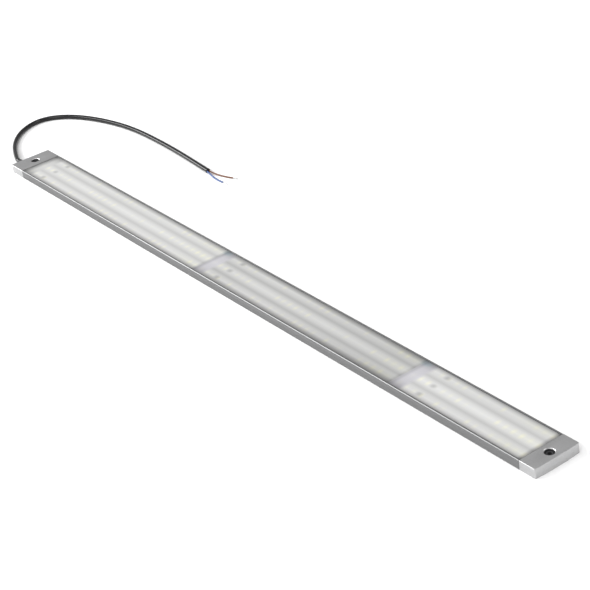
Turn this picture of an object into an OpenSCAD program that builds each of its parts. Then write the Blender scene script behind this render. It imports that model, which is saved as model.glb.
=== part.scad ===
// Slim surface-mounted LED light bar for vehicle load areas.
// X runs along the bar (cable at the -X end), Z is up through the diffuser,
// and the origin is the middle of the underside, on the mounting surface.

/* [Body] */
// Length over both end caps
overall_length = 900; // [860:5:1000]
// Width of the bar
bar_width = 51; // [51:0.5:54]
// Height of the bar
bar_height = 10; // [10:0.25:11]
// Thickness of the side walls of the channel
wall = 2; // [1.8:0.1:2.2]
// Thickness of the channel's base
base_thk = 1.8; // [1.6:0.1:1.9]

/* [End caps] */
// Length of the cap at the cable end
cable_cap_length = 27; // [26:0.5:30]
// Length of the cap at the plain end
plain_cap_length = 20; // [18:0.5:24]
// Crown of the end faces, from corner to middle
end_crown = 1.2; // [0.5:0.1:1.5]
// Radius of the upright corners
corner_r = 1.2; // [1:0.1:2.5]
// Thickness of the gasket behind each cap
gasket_thk = 0.4; // [0.3:0.1:0.6]

/* [Mounting holes] */
// Bore of the mounting bushes
bush_bore_d = 4.4; // [4.2:0.1:4.6]
// Diameter of the counterbore around each bush
counterbore_d = 9.6; // [9.4:0.1:9.8]

/* [Diffuser] */
// Thickness of the frosted cover
cover_thk = 1.4; // [1.2:0.1:1.6]
// How far the cover lies below the rim of the channel
cover_recess = 0.4; // [0.3:0.1:0.7]

/* [LED boards] */
// Length of the first board, at the cable end
board_1_length = 362; // [340:1:370]
// Length of the second board
board_2_length = 317; // [300:1:330]
// Width of the boards
board_width = 38; // [37:0.5:38]
// Distance between the LED rows
row_pitch = 17; // [16:0.5:17]
// Distance between LEDs along a row
led_pitch = 10; // [9:0.5:14]

/* [Cable] */
// Diameter of the cable's jacket
cable_d = 5.6; // [5:0.1:5.6]
// Diameter of each core over its insulation
core_d = 1.8; // [1.4:0.1:1.8]

/* [Hidden] */
$fn = 48;

x_lo = -overall_length / 2;
x_hi = overall_length / 2;
half_w = bar_width / 2;
joint_lo = x_lo + cable_cap_length;          // face of the channel, cable end
joint_hi = x_hi - plain_cap_length;          // face of the channel, plain end
inner_y = half_w - wall;                     // inside of the side walls
edge = 0.5;                                  // small chamfers on the channel
cap_edge = 0.7;                              // chamfers on the ends of the caps
cap_side_edge = 0.25;                        // chamfers along the sides of the caps

cover_top = bar_height - cover_recess;
cover_rim = inner_y - 0.1;                   // side of the cover's plate
cover_y = inner_y - 0.9;                     // side of the cover's legs, inside the rib
cover_under = cover_top - cover_thk;
leg_thk = 1.2;
leg_foot = 5.2;

tape_thk = 0.2;
board_z = base_thk + tape_thk;
board_thk = 1;
parts_z = board_z + board_thk;               // top of the boards
board_gap = 0.6;
b1 = joint_lo + 2;
b2 = b1 + board_1_length + board_gap;
b3 = b2 + board_2_length + board_gap;
b_end = joint_hi - 1.5;
board_x = [b1, b2, b3];
board_len = [board_1_length, board_2_length, b_end - b3];

led_l = 3.5;
led_w = 2.8;
led_h = 0.8;
chip_at = 35;                                // regulators, from the board's start
led_start = 18;                              // first LED, from the board's start
rows = [-row_pitch, 0, row_pitch];

hole_lo = x_lo + 14;                         // mounting hole, cable end
hole_hi = x_hi - 10;                         // mounting hole, plain end
hole_chamfer = 0.6;
bush_top = bar_height - hole_chamfer - 0.1;

tongue_y = board_width / 2 + 0.4;            // inside of the tongues on the caps
tongue_l = 10;
tongue_top = 5;
screw_y = (tongue_y + inner_y) / 2;

cable_y = -10;
cable_z = 5;
relief_l = 8;                                // outside length of the strain relief
relief_tip = x_lo - relief_l;
pocket_y0 = -17.6;
pocket_y1 = -5.8;

// Route of the cable on the floor, from the strain relief to the end of its
// jacket: out of the cap, down, and back beside the bar in one open loop
cable_floor = 2.9;
route = [
    [relief_tip, cable_y, cable_z], [-464, -9.5, 5], [-472, -7, 4.6], [-484, -2, 4],
    [-498, 4, 3.2], [-513, 12, 2.8], [-528, 23, cable_floor], [-541, 37, cable_floor],
    [-550, 53, cable_floor], [-553, 70, cable_floor], [-547, 85, cable_floor],
    [-535, 98, cable_floor], [-518, 109, cable_floor], [-497, 118, cable_floor],
    [-474, 125, cable_floor], [-446, 131, cable_floor], [-415, 134, cable_floor],
    [-380, 134, cable_floor], [-345, 133, cable_floor], [-310, 131, cable_floor],
    [-275, 128, cable_floor], [-250, 126, cable_floor]
];
core_route_positive = [
    [-250, 127.3, 2.6], [-243, 128, 1.6], [-235, 129.5, 1], [-225, 132, 1], [-214, 136, 1]
];
core_route_negative = [
    [-250, 124.7, 2.6], [-243, 124, 1.6], [-235, 122.5, 1], [-225, 121.5, 1], [-214, 122, 1]
];

// A point on the smooth cubic curve that the points p pull into shape, at
// segment i and fraction t. The curve starts and ends on the end points.
function at(p, i) = i < 0 ? 2 * p[0] - p[1]
    : i >= len(p) ? 2 * p[len(p) - 1] - p[len(p) - 2] : p[i];
function curve(p, i, t) =
    (pow(1 - t, 3) * at(p, i - 1) + (3 * pow(t, 3) - 6 * pow(t, 2) + 4) * at(p, i)
        + (-3 * pow(t, 3) + 3 * pow(t, 2) + 3 * t + 1) * at(p, i + 1) + pow(t, 3) * at(p, i + 2)) / 6;
function path(p, n) = [
    for (i = [0 : len(p) - 2], k = [0 : n - 1]) curve(p, i, k / n), p[len(p) - 1]
];
function unit(v) = v / norm(v);
function tangent(q, i) = unit(q[min(len(q) - 1, i + 1)] - q[max(0, i - 1)]);

// A closed round tube along the points q
module tube(q, r, sides) {
    n = len(q);
    pts = [for (i = [0 : n - 1])
        let (t = i == 0 ? [-1, 0, 0] : tangent(q, i),
             tt = (i == 0 && q[1][0] > q[0][0]) ? tangent(q, 0) : t,
             s = unit(cross(tt, [0, 0, 1])), u = cross(s, tt))
        for (k = [0 : sides - 1])
            q[i] + r * (s * cos(360 * k / sides) + u * sin(360 * k / sides))];
    faces = concat(
        [[for (k = [0 : sides - 1]) k]],
        [for (i = [0 : n - 2], k = [0 : sides - 1])
            let (a = i * sides + k, b = i * sides + (k + 1) % sides)
            [b, a, a + sides, b + sides]],
        [[for (k = [sides - 1 : -1 : 0]) (n - 1) * sides + k]]);
    polyhedron(points = pts, faces = faces, convexity = 8);
}

// Runs a drawing of the cross-section, Y across and Z up, along X
module along(x0, x1) {
    translate([x0, 0, 0]) rotate([90, 0, 90]) linear_extrude(height = x1 - x0) children();
}

module block(x0, x1, y0, y1, z0, z1) {
    translate([x0, y0, z0]) cube([x1 - x0, y1 - y0, z1 - z0]);
}

// ---- channel and cover ----

// An outline and its mirror image across the middle, as one closed polygon
module both_sides(p) {
    polygon(concat(p, [for (i = [len(p) - 1 : -1 : 0]) [-p[i][0], p[i][1]]]));
}

module channel_section() {
    both_sides([
        [half_w - edge, 0], [half_w, edge],
        [half_w, bar_height - edge], [half_w - edge, bar_height],
        [inner_y + 0.3, bar_height], [inner_y, bar_height - 0.3],
        [inner_y, 7.6], [inner_y - 0.6, 7.4], [inner_y - 0.6, 7], [inner_y, 7],
        [inner_y, base_thk + 0.3], [inner_y - 0.3, base_thk]
    ]);
}

module housing_profile() {
    color("darkgray") difference() {
        along(joint_lo, joint_hi) channel_section();
        for (x = [joint_lo + 5, joint_hi - 5], y = [-screw_y, screw_y]) {
            translate([x, y, -1]) cylinder(r = 1.3, h = base_thk + 2);
            translate([x, y, -0.1]) cylinder(r1 = 2.5, r2 = 1.3, h = 1.2);
        }
    }
}

module cover_section() {
    both_sides([
        [cover_rim - 0.3, cover_top], [cover_rim, cover_top - 0.3],
        [cover_rim, cover_under - 0.2], [cover_y, cover_under - 0.2], [cover_y, 6.9], [cover_y + 0.6, 6.8], [cover_y + 0.6, 6.5], [cover_y, 5.8],
        [cover_y, leg_foot], [cover_y - leg_thk, leg_foot], [cover_y - leg_thk, cover_under]
    ]);
}

module diffuser_cover() {
    color("whitesmoke") along(joint_lo + 0.2, joint_hi - 0.2) cover_section();
}

// ---- end caps ----

// Outline of a cap seen from above: its joint face at x = 0, its crowned end
// at x = l, its two end corners rounded
function cap_outline(l) =
    let (w = half_w, c = end_crown, rr = corner_r,
         big = (w * w + c * c) / (2 * c),
         yc = w - rr,
         xc = l - big + sqrt(big * big - yc * yc) - rr)
    concat(
        [[0, -w]],
        [for (a = [-90 : 15 : -5]) [xc + rr * cos(a), -yc + rr * sin(a)]],
        [for (k = [-8 : 8]) let (y = yc * k / 8) [l - big + sqrt(big * big - y * y), y]],
        [for (a = [5 : 15 : 90]) [xc + rr * cos(a), yc + rr * sin(a)]],
        [[xc, w], [0, w]]);

// Solid cap of length l with its joint face at x = 0, growing towards +X
module cap_block(l) {
    intersection() {
        linear_extrude(height = bar_height) polygon(cap_outline(l));
        along(-1, l + 1) polygon([
            [-half_w + edge, 0], [half_w - edge, 0], [half_w, edge],
            [half_w, bar_height - cap_side_edge], [half_w - cap_side_edge, bar_height],
            [-half_w + cap_side_edge, bar_height], [-half_w, bar_height - cap_side_edge], [-half_w, edge]]);
        translate([0, half_w + 1, 0]) rotate([90, 0, 0]) linear_extrude(height = bar_width + 2)
            polygon([[-1, -1], [l - cap_edge, -1], [l + 0.01, cap_edge - 0.3],
                [l + 0.01, bar_height - cap_edge], [l - cap_edge, bar_height + 0.01], [-1, bar_height + 0.01]]);
    }
    for (s = [-1, 1])
        block(-tongue_l - gasket_thk, 0.5, s > 0 ? tongue_y : -inner_y + 0.35,
            s > 0 ? inner_y - 0.35 : -tongue_y, base_thk + 0.1, tongue_top);
}

module cap_hole(x) {
    translate([x, 0, -1]) cylinder(d = 6.7, h = bar_height + 2);
    translate([x, 0, 3.4]) cylinder(d = counterbore_d, h = bar_height);
    translate([x, 0, bar_height - hole_chamfer])
        cylinder(r1 = counterbore_d / 2, r2 = counterbore_d / 2 + hole_chamfer + 0.1, h = hole_chamfer + 0.1);
}

module tongue_screw_holes(x) {
    for (y = [-screw_y, screw_y]) translate([x, y, 0]) cylinder(r = 1.25, h = 4.8);
}

module cable_end_cap() {
    color("silver") difference() {
        translate([joint_lo - gasket_thk, 0, 0]) mirror([1, 0, 0])
            cap_block(cable_cap_length - gasket_thk);
        cap_hole(hole_lo);
        tongue_screw_holes(joint_lo + 5);
        // wiring pocket and cable entry
        block(x_lo + 6, joint_lo + 1, pocket_y0, pocket_y1, 1.6, 8.4);
        translate([x_lo - 1, cable_y, cable_z]) rotate([0, 90, 0]) cylinder(d = 7.7, h = 8);
        // lightening pocket on the other side of the hole
        block(x_lo + 5, joint_lo + 1, 6.5, 18.6, 2, 8);
    }
}

module plain_end_cap() {
    color("silver") difference() {
        translate([joint_hi + gasket_thk, 0, 0]) cap_block(plain_cap_length - gasket_thk);
        cap_hole(hole_hi);
        tongue_screw_holes(joint_hi - 5);
        for (s = [-1, 1])
            block(joint_hi - 1, x_hi - 4, s > 0 ? 6.5 : -18.6, s > 0 ? 18.6 : -6.5, 2, 8);
    }
}

// Ring that seals the end of the channel and of the cover
module gasket(x) {
    along(x, x + gasket_thk) difference() {
        translate([-half_w + 0.4, 0.4]) square([bar_width - 0.8, cover_top - 0.4]);
        translate([-inner_y, base_thk]) square([2 * inner_y, cover_under - base_thk]);
    }
}

module gasket_cable_end() {
    color([0.2, 0.2, 0.22]) gasket(joint_lo - gasket_thk);
}

module gasket_plain_end() {
    color([0.2, 0.2, 0.22]) gasket(joint_hi);
}

// Bush with a thin wall that lines the counterbore and a collar around the bore
module bush(x) {
    translate([x, 0, 0]) difference() {
        union() {
            cylinder(d = 6.6, h = 5);
            translate([0, 0, 3.4]) cylinder(d = counterbore_d - 0.1, h = bush_top - 3.4);
        }
        translate([0, 0, -1]) cylinder(d = bush_bore_d, h = bar_height + 2);
        translate([0, 0, 5]) difference() {
            cylinder(d = 8.6, h = bar_height);
            translate([0, 0, -1]) cylinder(d = 6.4, h = 4.2);
        }
    }
}

module mounting_bushes() {
    color([0.12, 0.12, 0.13]) {
        bush(hole_lo);
        bush(hole_hi);
    }
}

module cap_screw(x, y) {
    translate([x, y, 0]) difference() {
        union() {
            translate([0, 0, 0.1]) cylinder(r1 = 2.25, r2 = 1.15, h = 1.1);
            translate([0, 0, 1.15]) cylinder(r = 1.2, h = 3.4);
        }
        for (a = [0, 90]) rotate([0, 0, a]) translate([-1.2, -0.25, -0.5]) cube([2.4, 0.5, 1.1]);
    }
}

module cap_fixing_screws() {
    color("gainsboro") for (x = [joint_lo + 5, joint_hi - 5], y = [-screw_y, screw_y])
        cap_screw(x, y);
}

// ---- LED boards ----

module board(i) {
    block(board_x[i], board_x[i] + board_len[i], -board_width / 2, board_width / 2,
        board_z, board_z + board_thk);
}

module led_board_1() { color("white") board(0); }
module led_board_2() { color("white") board(1); }
module led_board_3() { color("white") board(2); }

module thermal_tapes() {
    color("lightgray") for (i = [0 : 2])
        block(board_x[i] + 2, board_x[i] + board_len[i] - 2, -board_width / 2 + 2,
            board_width / 2 - 2, base_thk, base_thk + tape_thk);
}

// LEDs stand at every pitch along each row, from the end of the plain strip
// that starts each board, except at the regulator
function led_free(d) = abs(d - chip_at) > 5.5;

// Package of an LED, with the round window of its phosphor on top
module led(x, y) {
    translate([x, y, parts_z]) {
        translate([-led_l / 2, -led_w / 2, 0]) cube([led_l, led_w, led_h - 0.2]);
        cylinder(d = 2.4, h = led_h, $fn = 12);
    }
}

module leds(i) {
    color([0.98, 0.93, 0.7]) for (row = [0 : 2], k = [0 : floor((board_len[i] - led_start - 3) / led_pitch)])
        let (d = led_start + k * led_pitch)
        if (led_free(d))
            led(board_x[i] + d, rows[row]);
}

module leds_board_1() { leds(0); }
module leds_board_2() { leds(1); }
module leds_board_3() { leds(2); }

module current_regulators() {
    color([0.15, 0.15, 0.16]) for (i = [0 : 2], y = rows)
        translate([board_x[i] + chip_at, y, parts_z]) {
            translate([-1.7, -2, 0.1]) cube([3.4, 4, 1.4]);
            for (s = [-1, 1], k = [-1.5 : 1.5])
                translate([s * 2.1 - 0.45, k - 0.2, 0]) cube([0.9, 0.4, 0.3]);
        }
}

module series_resistors() {
    color([0.2, 0.2, 0.22]) for (i = [0 : 2], y = [-row_pitch / 2, row_pitch / 2],
            k = [1 : floor((board_len[i] - 30) / 60)])
        translate([board_x[i] + 20 + 60 * k, y, parts_z]) {
            translate([-1.5, -0.75, 0]) cube([3, 1.5, 0.55]);
            for (s = [-1, 1]) translate([s * 1.35 - 0.25, -0.8, 0]) cube([0.5, 1.6, 0.62]);
        }
}

module input_terminal() {
    color("ivory") difference() {
        block(b1 + 2, b1 + 10, cable_y - 3.6, cable_y + 3.6, parts_z, parts_z + 3.4);
        for (s = [-1, 1]) translate([b1 + 1, cable_y + 1.6 * s, cable_z]) rotate([0, 90, 0])
            cylinder(d = 2, h = 4);
        for (s = [-1, 1]) translate([b1 + 6.6, cable_y + 1.6 * s - 0.7, parts_z + 2.8]) cube([2.4, 1.4, 1]);
    }
}

module polarity_diode() {
    color([0.16, 0.16, 0.17]) {
        block(b1 + 14, b1 + 18.5, cable_y - 1.3, cable_y + 1.3, parts_z + 0.1, parts_z + 2.1);
        block(b1 + 13.3, b1 + 19.2, cable_y - 0.7, cable_y + 0.7, parts_z, parts_z + 0.3);
    }
}

module surge_suppressor() {
    color([0.18, 0.18, 0.19]) {
        block(b1 + 5, b1 + 12, 5, 11, parts_z + 0.1, parts_z + 2.3);
        block(b1 + 4.2, b1 + 12.8, 6.6, 9.4, parts_z, parts_z + 0.3);
    }
}

// ---- links between the boards ----

module link_sockets() {
    color([0.35, 0.55, 0.56]) for (x = [b2, b3]) difference() {
        block(x + 3, x + 11, row_pitch - 3.2, row_pitch + 1.8, parts_z, parts_z + 2.6);
        for (s = [-1, 1]) translate([x + 2, row_pitch - 0.7 + 1.3 * s, parts_z + 1.2])
            rotate([0, 90, 0]) cylinder(d = 1.3, h = 4);
    }
}

module link_wire(x, y) {
    translate([x - 6, y, parts_z + 1.2]) rotate([0, 90, 0]) cylinder(d = 1.2, h = 11.5);
    translate([x - 6, y, parts_z]) cylinder(d = 1.6, h = 1.8);
}

module link_wires_positive() {
    color([0.5, 0.2, 0.15]) for (x = [b2, b3]) link_wire(x, row_pitch + 0.6);
}

module link_wires_negative() {
    color([0.2, 0.35, 0.6]) for (x = [b2, b3]) link_wire(x, row_pitch - 2);
}

// ---- supply cable ----

module supply_core(s) {
    translate([x_lo + 13, cable_y + 1.6 * s, cable_z]) rotate([0, 90, 0])
        cylinder(d = core_d, h = b1 + 5 - x_lo - 13);
}

module supply_core_positive() { color([0.45, 0.25, 0.14]) supply_core(1); }
module supply_core_negative() { color([0.15, 0.3, 0.6]) supply_core(-1); }

module cable_tie() {
    color([0.1, 0.1, 0.1]) {
        translate([x_lo + 8, cable_y, cable_z]) rotate([0, 90, 0]) difference() {
            union() {
                cylinder(d = cable_d + 1.1, h = 2.5);
                translate([-1.6, -5, -0.4]) cube([3.2, 2.6, 3.3]);
            }
            translate([0, 0, -1]) cylinder(d = cable_d + 0.06, h = 6);
        }
    }
}

// Moulded boot: flange inside the cap, neck in its wall, taper outside
module cable_strain_relief() {
    color([0.13, 0.13, 0.14]) difference() {
        union() {
            translate([x_lo + 6, cable_y - 4.6, 1.8]) cube([1.4, 8.6, 6.4]);
            translate([x_lo, cable_y, cable_z]) rotate([0, 90, 0]) cylinder(d = 7.6, h = 6.5);
            translate([relief_tip, cable_y, cable_z]) rotate([0, 90, 0])
                cylinder(d1 = cable_d + 0.8, d2 = 7.6, h = relief_l + 0.01);
        }
        translate([relief_tip - 1, cable_y, cable_z]) rotate([0, 90, 0])
            cylinder(d = cable_d + 0.1, h = relief_l + 10);
    }
}

module cable_inner_length() {
    color([0.13, 0.13, 0.14]) translate([relief_tip, cable_y, cable_z]) rotate([0, 90, 0])
        cylinder(d = cable_d, h = relief_l + 13);
}

module power_cable() {
    color([0.13, 0.13, 0.14]) tube(path(route, 2), cable_d / 2, 10);
}

module free_core_positive() {
    color([0.45, 0.25, 0.14]) tube(path(core_route_positive, 2), core_d / 2, 8);
}

module free_core_negative() {
    color([0.15, 0.3, 0.6]) tube(path(core_route_negative, 2), core_d / 2, 8);
}

// Tinned strands where the insulation is taken off
module core_tips() {
    color([0.8, 0.8, 0.82]) {
        translate([-214, 136, 1]) rotate([0, 0, 20]) rotate([0, 90, 0]) cylinder(d = 1.2, h = 8);
        translate([-214, 122, 1]) rotate([0, 0, 2.6]) rotate([0, 90, 0]) cylinder(d = 1.2, h = 8);
    }
}

housing_profile();
diffuser_cover();
cable_end_cap();
plain_end_cap();
gasket_cable_end();
gasket_plain_end();
mounting_bushes();
cap_fixing_screws();
led_board_1();
led_board_2();
led_board_3();
thermal_tapes();
leds_board_1();
leds_board_2();
leds_board_3();
current_regulators();
series_resistors();
input_terminal();
polarity_diode();
surge_suppressor();
link_sockets();
link_wires_positive();
link_wires_negative();
supply_core_positive();
supply_core_negative();
cable_tie();
cable_strain_relief();
cable_inner_length();
power_cable();
free_core_positive();
free_core_negative();
core_tips();
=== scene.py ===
"""LED light bar: the looks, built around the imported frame."""
import math

import bpy
from mathutils import Matrix, Vector


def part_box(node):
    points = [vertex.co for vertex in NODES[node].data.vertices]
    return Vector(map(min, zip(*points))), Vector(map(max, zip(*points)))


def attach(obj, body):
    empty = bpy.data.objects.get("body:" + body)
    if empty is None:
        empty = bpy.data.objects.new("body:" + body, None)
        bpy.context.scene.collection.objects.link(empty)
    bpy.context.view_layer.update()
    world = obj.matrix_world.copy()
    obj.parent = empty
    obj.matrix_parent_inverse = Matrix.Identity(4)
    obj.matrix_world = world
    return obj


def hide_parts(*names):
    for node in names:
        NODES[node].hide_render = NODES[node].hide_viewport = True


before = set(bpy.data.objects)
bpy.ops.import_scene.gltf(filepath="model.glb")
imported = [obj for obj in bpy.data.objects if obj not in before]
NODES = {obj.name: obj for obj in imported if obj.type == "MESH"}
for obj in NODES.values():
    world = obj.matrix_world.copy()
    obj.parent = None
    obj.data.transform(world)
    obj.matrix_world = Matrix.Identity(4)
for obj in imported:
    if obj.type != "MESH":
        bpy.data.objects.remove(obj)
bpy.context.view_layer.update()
scene = bpy.context.scene
scene.view_settings.view_transform = "Standard"
scene.view_settings.look = "None"

chan_lo, chan_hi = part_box("housing_profile")
cap_lo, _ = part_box("cable_end_cap")
_, cap_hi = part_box("plain_end_cap")
TOP = chan_hi[2]
LENGTH = cap_hi[0] - cap_lo[0]
HALF_W = chan_hi[1]
board_start = [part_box("led_board_%d" % i)[0][0] for i in (1, 2, 3)]
board_end = [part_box("led_board_%d" % i)[1][0] for i in (1, 2, 3)]


# ------------------------------------------------------------------ camera
def make_camera():
    az, el, roll = math.radians(57.52), math.radians(29.75), math.radians(-8.79)
    back = Vector((math.sin(az) * math.cos(el), -math.cos(az) * math.cos(el), math.sin(el)))
    right = Vector((math.cos(az), math.sin(az), 0))
    up = back.cross(right)
    c, s = math.cos(roll), math.sin(roll)
    r2 = right * c + up * s
    u2 = up * c - right * s
    target = Vector((0.077 * LENGTH, 0.016 * LENGTH, TOP))
    eye = target + back * (1.853 * LENGTH)
    data = bpy.data.cameras.new("camera")
    data.sensor_width = 36
    data.lens = 1692 / 590 * 36
    data.clip_start, data.clip_end = 0.05, 50
    cam = bpy.data.objects.new("camera", data)
    scene.collection.objects.link(cam)
    m = Matrix((r2, u2, back)).transposed().to_4x4()
    m.translation = eye
    cam.matrix_world = m
    scene.camera = cam


make_camera()


# ------------------------------------------------------------------ node helpers
class Tree:
    """A material's node tree, with short calls for arithmetic."""

    def __init__(self, name):
        self.mat = bpy.data.materials.new(name)
        self.mat.use_nodes = True
        self.nt = self.mat.node_tree
        self.nt.nodes.clear()
        self.out = self.nt.nodes.new("ShaderNodeOutputMaterial")
        self.bsdf = self.nt.nodes.new("ShaderNodeBsdfPrincipled")
        self.nt.links.new(self.bsdf.outputs[0], self.out.inputs["Surface"])
        self.co = self.nt.nodes.new("ShaderNodeTexCoord").outputs["Object"]

    def put(self, socket, v):
        if isinstance(v, bpy.types.NodeSocket):
            self.nt.links.new(v, socket)
        else:
            socket.default_value = v

    def math(self, op, a, b=None, clamp=False):
        n = self.nt.nodes.new("ShaderNodeMath")
        n.operation = op
        n.use_clamp = clamp
        self.put(n.inputs[0], a)
        if b is not None:
            self.put(n.inputs[1], b)
        return n.outputs[0]

    def add(self, a, b):
        return self.math("ADD", a, b)

    def sub(self, a, b):
        return self.math("SUBTRACT", a, b)

    def mul(self, a, b):
        return self.math("MULTIPLY", a, b)

    def smooth(self, x, lo, hi, a=0.0, b=1.0):
        """a below lo, b above hi, a smooth step between."""
        n = self.nt.nodes.new("ShaderNodeMapRange")
        n.interpolation_type = "SMOOTHSTEP"
        self.put(n.inputs[0], x)
        n.inputs[1].default_value, n.inputs[2].default_value = lo, hi
        n.inputs[3].default_value, n.inputs[4].default_value = a, b
        return n.outputs[0]

    def linear(self, x, lo, hi, a=0.0, b=1.0):
        n = self.nt.nodes.new("ShaderNodeMapRange")
        self.put(n.inputs[0], x)
        n.inputs[1].default_value, n.inputs[2].default_value = lo, hi
        n.inputs[3].default_value, n.inputs[4].default_value = a, b
        return n.outputs[0]

    def xyz(self, v=None):
        n = self.nt.nodes.new("ShaderNodeSeparateXYZ")
        self.put(n.inputs[0], self.co if v is None else v)
        return n.outputs

    def scaled(self, sx, sy, sz):
        n = self.nt.nodes.new("ShaderNodeMapping")
        self.put(n.inputs["Vector"], self.co)
        n.inputs["Scale"].default_value = (sx, sy, sz)
        return n.outputs[0]

    def noise(self, vec, scale, detail=3.0, rough=0.5):
        n = self.nt.nodes.new("ShaderNodeTexNoise")
        self.put(n.inputs["Vector"], vec)
        n.inputs["Scale"].default_value = scale
        n.inputs["Detail"].default_value = detail
        n.inputs["Roughness"].default_value = rough
        return n.outputs["Fac"]

    def ramp(self, fac, stops, interp="LINEAR"):
        n = self.nt.nodes.new("ShaderNodeValToRGB")
        self.put(n.inputs[0], fac)
        cr = n.color_ramp
        cr.interpolation = interp
        while len(cr.elements) > 1:
            cr.elements.remove(cr.elements[0])
        cr.elements[0].position, cr.elements[0].color = stops[0][0], stops[0][1]
        for p, c in stops[1:]:
            cr.elements.new(p).color = c
        return n.outputs[0]

    def mix(self, fac, a, b, kind="MIX"):
        n = self.nt.nodes.new("ShaderNodeMix")
        n.data_type = "RGBA"
        n.blend_type = kind
        self.put(n.inputs[0], fac)
        self.put(n.inputs[6], a)
        self.put(n.inputs[7], b)
        return n.outputs[2]

    def bump(self, height, strength, distance):
        n = self.nt.nodes.new("ShaderNodeBump")
        n.inputs["Strength"].default_value = strength
        n.inputs["Distance"].default_value = distance
        self.put(n.inputs["Height"], height)
        self.put(self.bsdf.inputs["Normal"], n.outputs[0])
        return n.outputs[0]

    def set(self, **kw):
        for k, v in kw.items():
            self.put(self.bsdf.inputs[k.replace("_", " ")], v)
        return self


def lin(v):
    v = v / 255.0
    return v / 12.92 if v <= 0.04045 else ((v + 0.055) / 1.055) ** 2.4


def grey(v, warm=0.0):
    return (lin(v), lin(v), lin(v) * (1 - warm), 1.0)


def give(node, mat, smooth_angle=None):
    o = NODES[node]
    o.data.materials.clear()
    o.data.materials.append(mat)
    return o


# ------------------------------------------------------------------ cord
CABLE_D = 0.0056
CABLE_ROUTE = [
    (-458, -10, 5), (-464, -9.5, 5), (-472, -7, 4.6), (-484, -2, 4),
    (-498, 4, 3.2), (-513, 12, 2.8), (-528, 23, 2.9), (-541, 37, 2.9),
    (-550, 53, 2.9), (-553, 70, 2.9), (-547, 85, 2.9),
    (-535, 98, 2.9), (-518, 109, 2.9), (-497, 118, 2.9),
    (-474, 125, 2.9), (-446, 131, 2.9), (-415, 134, 2.9),
    (-380, 134, 2.9), (-345, 133, 2.9), (-310, 131, 2.9),
    (-275, 128, 2.9), (-250, 126, 2.9),
]
CORE_D = 0.0018
CORE_POSITIVE = [(-250, 127.3, 2.6), (-243, 128, 1.6), (-235, 129.5, 1), (-225, 132, 1), (-214, 136, 1)]
CORE_NEGATIVE = [(-250, 124.7, 2.6), (-243, 124, 1.6), (-235, 122.5, 1), (-225, 121.5, 1), (-214, 122, 1)]


def spline_points(route, n):
    """The cubic curve that the route's points pull into shape, in metres."""
    p = [Vector(q) / 1000 for q in route]
    p = [2 * p[0] - p[1]] + p + [2 * p[-1] - p[-2]]
    out = []
    for i in range(1, len(p) - 2):
        a, b, c, d = p[i - 1 : i + 3]
        for k in range(n):
            t = k / n
            out.append(
                ((1 - t) ** 3 * a + (3 * t**3 - 6 * t * t + 4) * b + (-3 * t**3 + 3 * t * t + 3 * t + 1) * c + t**3 * d) / 6
            )
    out.append(p[-2])
    return out


def round_curve(name, points, radius, mat, resolution=8):
    data = bpy.data.curves.new(name, "CURVE")
    data.dimensions = "3D"
    data.bevel_depth = radius
    data.bevel_resolution = resolution
    data.use_fill_caps = True
    s = data.splines.new("POLY")
    s.points.add(len(points) - 1)
    for q, p in zip(s.points, points):
        q.co = (*p, 1)
    s.use_smooth = True
    data.materials.append(mat)
    o = bpy.data.objects.new(name, data)
    scene.collection.objects.link(o)
    return o


def jacket_material():
    t = Tree("cable_jacket")
    n = t.noise(t.scaled(60, 60, 60), 1.0, 2.0)
    fine = t.noise(t.co, 900, 4.0, 0.6)
    col = t.ramp(n, [(0.3, (0.007, 0.007, 0.008, 1)), (0.7, (0.012, 0.012, 0.013, 1))])
    t.set(Base_Color=col, Roughness=t.linear(fine, 0.3, 0.7, 0.2, 0.3))
    t.bsdf.inputs["Specular IOR Level"].default_value = 0.32
    t.bump(fine, 0.1, 0.0001)
    return t.mat


JACKET = jacket_material()


def insulation(name, rgb):
    t = Tree(name)
    n = t.noise(t.co, 400, 3.0)
    a = tuple(c * 0.85 for c in rgb) + (1,)
    b = tuple(min(1, c * 1.1) for c in rgb) + (1,)
    t.set(Base_Color=t.ramp(n, [(0.35, a), (0.65, b)]), Roughness=0.34)
    t.bump(n, 0.08, 0.0001)
    return t.mat


BROWN = insulation("brown_insulation", (0.16, 0.06, 0.025))
BLUE = insulation("blue_insulation", (0.035, 0.09, 0.27))

cable = round_curve("supply_cable", spline_points(CABLE_ROUTE, 10), CABLE_D / 2, JACKET)
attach(cable, "root")
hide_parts("power_cable")
core_p = round_curve("free_core_brown", spline_points(CORE_POSITIVE, 10), CORE_D / 2, BROWN, 5)
core_n = round_curve("free_core_blue", spline_points(CORE_NEGATIVE, 10), CORE_D / 2, BLUE, 5)
for o, n in ((core_p, "free_core_positive"), (core_n, "free_core_negative")):
    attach(o, "root")
    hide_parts(n)


def twisted_strands(name, tips, mat):
    """Bare strands of each tip, laid in a twist, as one curve."""
    data = bpy.data.curves.new(name, "CURVE")
    data.dimensions = "3D"
    data.bevel_depth = 0.00019
    data.bevel_resolution = 3
    data.use_fill_caps = True
    for start, turn in tips:
        ahead = Vector((math.cos(turn), math.sin(turn), 0))
        side = Vector((-math.sin(turn), math.cos(turn), 0))
        for k in range(7):
            r = 0.0 if k == 6 else 0.00038
            s = data.splines.new("POLY")
            s.points.add(24)
            for i, q in enumerate(s.points):
                a = math.tau * (k / 6 + 0.9 * i / 24)
                p = Vector(start) + ahead * (0.0078 * i / 24 - 0.0002 + (0.0002 * (k % 3) if i == 24 else 0))
                p += side * (r * math.cos(a)) + Vector((0, 0, r * math.sin(a)))
                q.co = (*p, 1)
            s.use_smooth = True
    data.materials.append(mat)
    o = bpy.data.objects.new(name, data)
    scene.collection.objects.link(o)
    return o




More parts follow.
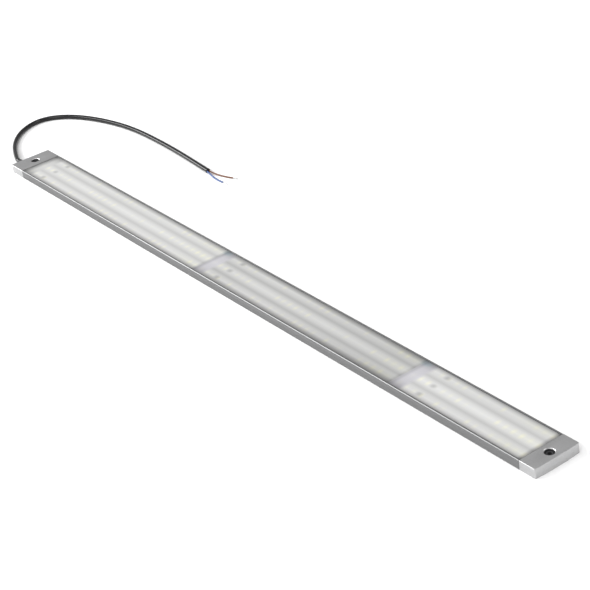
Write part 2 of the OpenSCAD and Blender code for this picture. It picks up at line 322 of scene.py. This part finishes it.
# ------------------------------------------------------------------ metals
def anodised():
    """Satin anodised extrusion: fine die lines along X, faint tone changes."""
    t = Tree("anodised_aluminium")
    lines = t.noise(t.scaled(3, 2600, 2600), 1.0, 3.0, 0.6)
    broad = t.noise(t.scaled(2, 300, 300), 1.0, 2.0)
    grain = t.noise(t.co, 2500, 2.0)
    tone = t.add(t.mul(lines, 0.55), t.mul(broad, 0.45))
    # painted shade: the outer chamfers are painted darker than the faces to dim their highlight, and the lips
    # beside the cover are painted dark as the shade in the gap
    _, y, z = t.xyz()
    side, high = t.math("ABSOLUTE", t.mul(y, 1000)), t.mul(z, 1000)
    chamfer_shade = t.smooth(t.add(side, high), 34.75, 34.95)
    lip_shade = t.mul(t.smooth(side, 23.82, 23.92, 1, 0), t.smooth(high, 8.8, 9.0))
    face = t.ramp(tone, [(0.36, (0.2, 0.2, 0.202, 1)), (0.64, (0.255, 0.255, 0.257, 1))])
    chamfer_shade_tone = t.ramp(tone, [(0.36, (0.145, 0.145, 0.147, 1)), (0.64, (0.185, 0.185, 0.187, 1))])
    dark = t.ramp(tone, [(0.36, (0.06, 0.06, 0.061, 1)), (0.64, (0.08, 0.08, 0.081, 1))])
    t.set(
        Base_Color=t.mix(lip_shade, t.mix(chamfer_shade, face, chamfer_shade_tone), dark),
        Metallic=1.0,
        Roughness=t.linear(lines, 0.3, 0.7, 0.36, 0.48),
    )
    t.bsdf.inputs["Anisotropic"].default_value = 0.6
    t.bsdf.inputs["Anisotropic Rotation"].default_value = 0.25
    tangent = t.nt.nodes.new("ShaderNodeTangent")
    tangent.direction_type = "RADIAL"
    tangent.axis = "X"
    t.put(t.bsdf.inputs["Tangent"], tangent.outputs[0])
    t.bump(t.add(t.mul(lines, 0.8), t.mul(grain, 0.2)), 0.25, 0.00006)
    return t.mat


def silver_paint():
    """Fine silver metallic paint on the caps."""
    t = Tree("silver_paint")
    flake = t.noise(t.co, 3200, 2.0, 0.7)
    cloud = t.noise(t.co, 70, 2.0)
    peel = t.noise(t.co, 700, 2.0)
    grain = t.noise(t.co, 620, 2.0, 0.6)
    tone = t.add(t.mul(t.add(flake, grain), 0.34), t.mul(cloud, 0.32))
    t.set(
        Base_Color=t.ramp(tone, [(0.35, (0.46, 0.46, 0.464, 1)), (0.65, (0.54, 0.54, 0.544, 1))]),
        Metallic=0.85,
        Roughness=t.linear(flake, 0.3, 0.7, 0.36, 0.46),
    )
    t.bump(t.add(t.mul(peel, 0.6), t.mul(flake, 0.4)), 0.12, 0.00008)
    return t.mat


def plain(name, rgb, rough, scale=900.0, spread=0.12, bump=0.1, metallic=0.0, dist=0.0001):
    t = Tree(name)
    n = t.noise(t.co, scale, 3.0)
    a = tuple(max(0, c * (1 - spread)) for c in rgb) + (1,)
    b = tuple(min(1, c * (1 + spread)) for c in rgb) + (1,)
    t.set(Base_Color=t.ramp(n, [(0.35, a), (0.65, b)]), Roughness=t.linear(n, 0.3, 0.7, rough - 0.05, rough + 0.05), Metallic=metallic)
    t.bump(n, bump, dist)
    return t.mat


ANODISED = anodised()
SILVER = silver_paint()
BLACK = plain("black_nylon", (0.045, 0.045, 0.047), 0.5)
BLACK.node_tree.nodes["Principled BSDF"].inputs["Specular IOR Level"].default_value = 0.25
RUBBER = plain("black_rubber", (0.03, 0.03, 0.032), 0.6)
GASKET = plain("gasket_rubber", (0.045, 0.045, 0.05), 0.7)
ZINC = plain("zinc_screw", (0.62, 0.61, 0.58), 0.32, metallic=1.0)
BOARD = plain("white_board", (0.82, 0.82, 0.8), 0.4, 300, 0.03)
TAPE = plain("thermal_tape", (0.55, 0.56, 0.57), 0.6, 1200)
LED = plain("led", (0.85, 0.74, 0.38), 0.35, 1500, 0.06)
CHIP = plain("chip_black", (0.02, 0.02, 0.022), 0.45)
IVORY = plain("ivory_plastic", (0.74, 0.70, 0.6), 0.45)
SOCKET = plain("socket_plastic", (0.08, 0.2, 0.22), 0.45)
TINNED = plain("tinned_strands", (0.66, 0.66, 0.66), 0.3, 3000, metallic=1.0)


strands = twisted_strands(
    "tinned_tips", [((-0.214, 0.136, 0.001), math.radians(20)), ((-0.214, 0.122, 0.001), math.radians(2.6))], TINNED
)
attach(strands, "root")
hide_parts("core_tips")


# ------------------------------------------------------------------ frosted cover
GAIN = 1.35  # light on the top plane, as a part of white


def tone_stops(table, lo, hi):
    return [((y - lo) / (hi - lo), (lin(v) / GAIN, lin(v) / GAIN, lin(v) / GAIN * 0.985, 1)) for y, v in table]


def mirrored(half):
    return [(-y, v) for y, v in reversed(half[1:])] + half


def painted_row_light(centre, valley, row, shoulder, wall):
    """Tones across a board, mirrored: painted light of a bright row in the middle and one at 17 mm, and painted
    shade towards the walls.
    """
    return mirrored([
        (0, centre), (4, centre - 10), (8.5, valley), (12.5, (row + valley) / 2 + 5), (17, row), (20, shoulder), (23, wall),
    ])


def cover_material():
    t = Tree("frosted_cover")
    x, y, z = t.xyz()
    xm, ym = t.mul(x, 1000), t.mul(y, 1000)
    # painted light of the LED rows seen through the cover, with painted shade towards the walls, for each board
    rows_1 = painted_row_light(centre=230, valley=200, row=225, shoulder=195, wall=150)
    rows_2 = painted_row_light(centre=220, valley=185, row=215, shoulder=180, wall=140)
    rows_3 = painted_row_light(centre=235, valley=200, row=225, shoulder=205, wall=155)
    start = mirrored([(0, 215), (12, 205), (17, 190), (20, 170), (23, 140)])
    across = t.linear(ym, -23, 23)
    in_2 = t.smooth(xm, board_start[1] * 1000 - 0.5, board_start[1] * 1000 + 0.5)
    in_3 = t.smooth(xm, board_start[2] * 1000 - 0.5, board_start[2] * 1000 + 0.5)
    c_rows = t.mix(in_2, t.ramp(across, tone_stops(rows_1, -23, 23)), t.ramp(across, tone_stops(rows_2, -23, 23)))
    c_rows = t.mix(in_3, c_rows, t.ramp(across, tone_stops(rows_3, -23, 23)))
    c_start = t.ramp(across, tone_stops(start, -23, 23))
    # plain strip that starts each board, painted without the row light and with painted shade towards the walls
    zone = None
    for b in board_start:
        b = b * 1000
        m = t.mul(t.smooth(xm, b - 1.5, b + 1.5), t.smooth(xm, b + 12, b + 19, 1, 0))
        zone = m if zone is None else t.math("MAXIMUM", zone, m)
    col = t.mix(zone, c_rows, c_start)
    # the later boards start with a cooler strip, and their sockets show as a blue-grey patch
    col = t.mix(t.mul(zone, in_2), col, t.mix(1.0, col, (0.985, 0.972, 1.04, 1), "MULTIPLY"))
    patch = None
    for b in board_start[1:]:
        b = b * 1000
        m = t.mul(t.mul(t.smooth(xm, b - 5, b), t.smooth(xm, b + 5, b + 12, 1, 0)), t.smooth(ym, 14, 19))
        patch = m if patch is None else t.math("MAXIMUM", patch, m)
    col = t.mix(patch, col, t.mix(1.0, col, (0.8, 0.91, 0.93, 1), "MULTIPLY"))
    # dark lines where the boards meet
    for b in board_start[1:]:
        b = b * 1000
        d = t.math("ABSOLUTE", t.sub(xm, b + 0.5))
        k = t.smooth(d, 0.5, 5.5, 0.77, 1.0)
        col = t.mix(1.0, col, k, "MULTIPLY")
    # shade towards the caps
    x0, x1 = chan_lo[0] * 1000, chan_hi[0] * 1000
    col = t.mix(1.0, col, t.smooth(xm, x0 - 1, x0 + 11, 0.30, 1.0), "MULTIPLY")
    col = t.mix(1.0, col, t.smooth(xm, x1 - 6, x1, 1.0, 0.42), "MULTIPLY")
    # the regulators, seen as soft dots
    dx = None
    for b in board_start:
        d = t.math("ABSOLUTE", t.sub(xm, b * 1000 + 35))
        dx = d if dx is None else t.math("MINIMUM", dx, d)
    ay = t.math("ABSOLUTE", ym)
    dy = t.math("MINIMUM", ay, t.math("ABSOLUTE", t.sub(ay, 16.6)))
    dx = t.mul(dx, 0.75)
    dist = t.math("SQRT", t.add(t.mul(dx, dx), t.mul(dy, dy)))
    col = t.mix(1.0, col, t.smooth(dist, 0.2, 4.4, 0.68, 1.0), "MULTIPLY")
    # painted shade: slow darkening along the second board, more on its -Y side
    along = t.mul(t.smooth(xm, 40, 240), t.sub(1.0, in_3))
    side_shade = t.add(t.smooth(ym, -20, -10, 0.72, 0.92), t.smooth(ym, 10, 18, 0.0, -0.05))
    col = t.mix(along, col, t.mix(1.0, col, side_shade, "MULTIPLY"))
    # each LED, seen as a faint warm dot: its yellow phosphor plus a painted glow
    first = t.add(t.mul(in_2, (board_start[1] - board_start[0]) * 1000), t.mul(in_3, (board_start[2] - board_start[1]) * 1000))
    phase = t.mul(t.sub(t.sub(xm, board_start[0] * 1000 + 18), first), math.pi / 5)
    near_row = t.smooth(t.math("MINIMUM", ay, t.math("ABSOLUTE", t.sub(ay, 17))), 0.5, 6.0, 1.0, 0.0)
    ends = None
    for e in board_end:
        e = e * 1000
        m = t.mul(t.smooth(xm, e - 60, e - 12), t.smooth(xm, e - 6, e, 1, 0))
        ends = m if ends is None else t.math("MAXIMUM", ends, m)
    col = t.mix(t.mul(ends, near_row), col, t.mix(1.0, col, (1.0, 1.0, 0.95, 1), "MULTIPLY"))
    cell = t.nt.nodes.new("ShaderNodeCombineXYZ")
    t.put(cell.inputs[0], t.math("ROUND", t.mul(phase, 0.5 / math.pi)))
    t.put(cell.inputs[1], t.math("ROUND", t.mul(ym, 1 / 17)))
    rnd = t.nt.nodes.new("ShaderNodeTexWhiteNoise")
    rnd.noise_dimensions = "2D"
    t.put(rnd.inputs["Vector"], cell.outputs[0])
    # some LEDs get a warmer and brighter painted glow than others
    led_glow = t.mul(t.linear(t.math("COSINE", phase), -0.2, 1), near_row)
    led_glow = t.mul(led_glow, t.linear(rnd.outputs["Value"], 0.3, 0.9, 0.1, 1.0))
    col = t.mix(1.0, col, t.ramp(led_glow, [(0.0, (0.99, 0.99, 0.995, 1)), (1.0, (1.09, 1.075, 0.94, 1))]), "MULTIPLY")
    soft = t.noise(t.scaled(12, 60, 60), 1.0, 2.0)
    col = t.mix(1.0, col, t.linear(soft, 0.3, 0.7, 0.985, 1.015), "MULTIPLY")
    frost = t.noise(t.co, 3500, 2.0)
    t.set(Base_Color=col, Roughness=t.linear(frost, 0.3, 0.7, 0.38, 0.5))
    t.bsdf.inputs["IOR"].default_value = 1.5
    t.bsdf.inputs["Specular IOR Level"].default_value = 0.35
    t.bump(frost, 0.06, 0.00005)
    return t.mat


COVER = cover_material()

for node, mat in {
    "housing_profile": ANODISED, "diffuser_cover": COVER, "cable_end_cap": SILVER, "plain_end_cap": SILVER,
    "gasket_cable_end": GASKET, "gasket_plain_end": GASKET, "mounting_bushes": BLACK, "cap_fixing_screws": ZINC,
    "led_board_1": BOARD, "led_board_2": BOARD, "led_board_3": BOARD, "thermal_tapes": TAPE,
    "leds_board_1": LED, "leds_board_2": LED, "leds_board_3": LED, "current_regulators": CHIP,
    "series_resistors": CHIP, "input_terminal": IVORY, "polarity_diode": CHIP, "surge_suppressor": CHIP,
    "link_sockets": SOCKET, "link_wires_positive": BROWN, "link_wires_negative": BLUE,
    "supply_core_positive": BROWN, "supply_core_negative": BLUE, "cable_tie": BLACK,
    "cable_strain_relief": RUBBER, "cable_inner_length": JACKET,
}.items():
    give(node, mat)


# ------------------------------------------------------------------ rounded edges
def soften(node, width, segments=3, angle=28):
    o = NODES[node]
    w = o.modifiers.new("weld", "WELD")
    w.merge_threshold = 0.00001
    b = o.modifiers.new("bevel", "BEVEL")
    b.width = width
    b.segments = segments
    b.limit_method = "ANGLE"
    b.angle_limit = math.radians(angle)
    b.harden_normals = True
    for p in o.data.polygons:
        p.use_smooth = True


soften("cable_end_cap", 0.00035)
soften("plain_end_cap", 0.00035)


# ------------------------------------------------------------------ studio
def make_floor():
    mesh = bpy.data.meshes.new("floor")
    s = 12.0
    mesh.from_pydata([(-s, -s, 0), (s, -s, 0), (s, s, 0), (-s, s, 0)], [], [(0, 1, 2, 3)])
    o = bpy.data.objects.new("floor", mesh)
    scene.collection.objects.link(o)
    t = Tree("floor")
    n = t.noise(t.co, 3.0, 2.0)
    t.set(Base_Color=t.ramp(n, [(0.3, (0.94, 0.94, 0.94, 1)), (0.7, (0.96, 0.96, 0.96, 1))]), Roughness=0.9)
    t.bsdf.inputs["Specular IOR Level"].default_value = 0.1
    mesh.materials.append(t.mat)


def area(name, loc, target, size, power, size_y=None, length_along=None):
    data = bpy.data.lights.new(name, "AREA")
    data.shape = "RECTANGLE"
    data.size, data.size_y = size, size_y or size
    data.energy = power
    o = bpy.data.objects.new(name, data)
    scene.collection.objects.link(o)
    o.location = loc
    o.rotation_mode = "QUATERNION"
    away = (Vector(loc) - Vector(target)).normalized()
    if length_along is None:
        o.rotation_quaternion = away.to_track_quat("Z", "Y")
    else:
        up = away.cross(Vector(length_along)).normalized()
        o.rotation_quaternion = Matrix((up.cross(away), up, away)).transposed().to_quaternion()


make_floor()
world = bpy.data.worlds.new("studio")
world.use_nodes = True
world.node_tree.nodes["Background"].inputs[0].default_value = (1, 1, 1, 1)
world.node_tree.nodes["Background"].inputs[1].default_value = 0.42
scene.world = world
area("key", (-2.2, -1.5, 1.37), (0, 0, 0), 3.1, 92, 0.9, (0.9, -0.33, 0.28))
area("fill", (1.2, -2.2, 1.5), (0.2, 0, 0), 1.6, 24)
area("rim", (1.75, 1.75, 2.3), (0, 0, 0), 1.0, 30)
area("overhead", (-0.3, -0.9, 2.9), (0, 0, 0), 2.4, 34)
